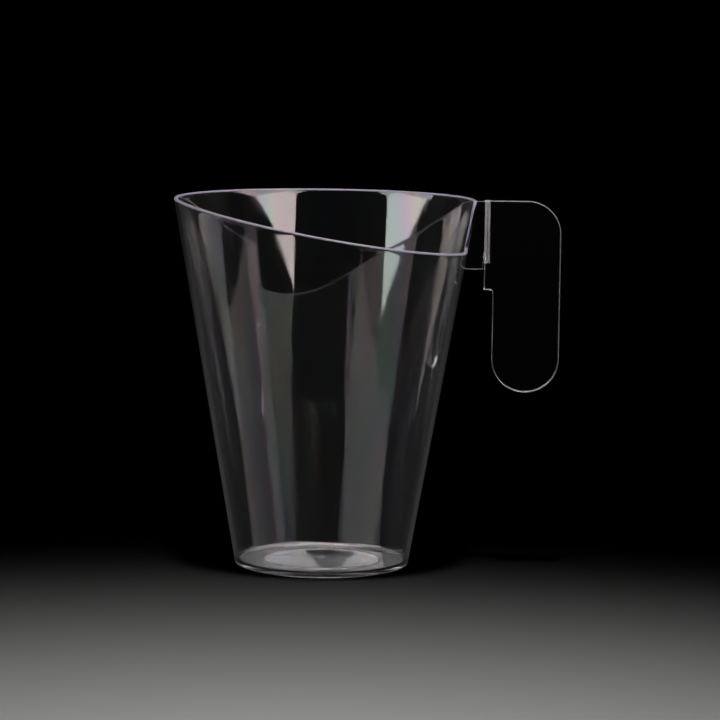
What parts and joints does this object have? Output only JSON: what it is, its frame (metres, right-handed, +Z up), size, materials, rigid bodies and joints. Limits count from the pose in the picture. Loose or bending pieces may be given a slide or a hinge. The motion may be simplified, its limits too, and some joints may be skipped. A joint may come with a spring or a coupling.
{
  "type": "clear mug with slide-on handle",
  "caption": "Tapered clear plastic mug with a front rim that slopes down to the handle, and a flat finger tab that slides onto a rail on its side.",
  "frame": {"origin": "on the table, under the middle of the whole mug's bounding box; the cup's own axis stands at x = -0.01101 m, y = 0", "axes": "+Z up along the cup's axis; +X from the cup's axis towards the handle tab; +Y away from the low, sloping side of the rim"},
  "size_m": [0.1012, 0.0779, 0.0965],
  "materials": {
    "clear_polystyrene": "clear, polished mould surface"
  },
  "bodies": {
    "cup": {"cup_body": "clear_polystyrene"},
    "handle": {"handle_tab": "clear_polystyrene"}
  },
  "joints": [
    {"name": "handle_slide", "type": "slide", "parent": "cup", "child": "handle", "axis": [0, 0, -1], "range_m": [0, 0.016]}
  ]
}
